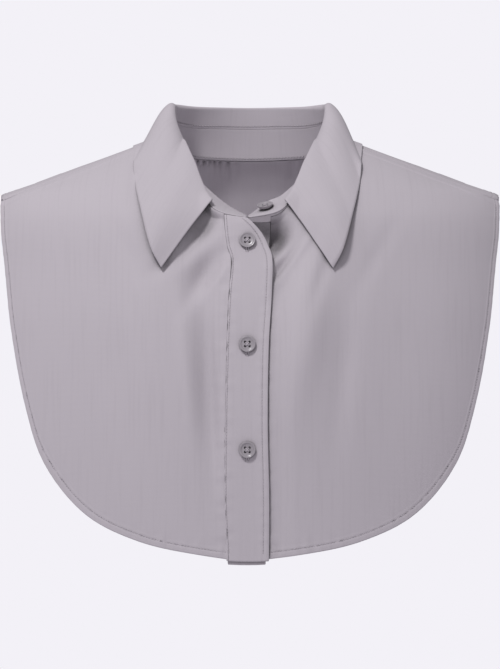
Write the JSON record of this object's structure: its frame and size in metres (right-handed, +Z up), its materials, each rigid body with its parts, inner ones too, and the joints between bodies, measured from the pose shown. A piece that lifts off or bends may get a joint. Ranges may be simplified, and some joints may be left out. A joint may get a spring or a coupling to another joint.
{
  "type": "detachable shirt collar",
  "caption": "Detachable shirt collar with a fall collar on a stand, a buttoned half front with curved hem and a back panel over the shoulders, shaped as worn.",
  "frame": {"origin": "on the neck's axis at the height of the side neck points, where the collar sits on a neck", "axes": "+Z up, the front faces -Y, +X is the right of the front view"},
  "size_m": [0.3956, 0.2158, 0.3565],
  "materials": {
    "cloth": "matt fine plain weave",
    "button": "polished"
  },
  "bodies": {
    "root": {"collar_stand": "cloth", "collar_leaf": "cloth", "front_overlap_panel": "cloth", "front_underlap_panel": "cloth", "overlap_placket": "cloth", "underlap_placket": "cloth", "back_panel": "cloth", "button_top": "button", "button_middle": "button", "button_bottom": "button", "button_neck": "button"}
  },
  "joints": []
}
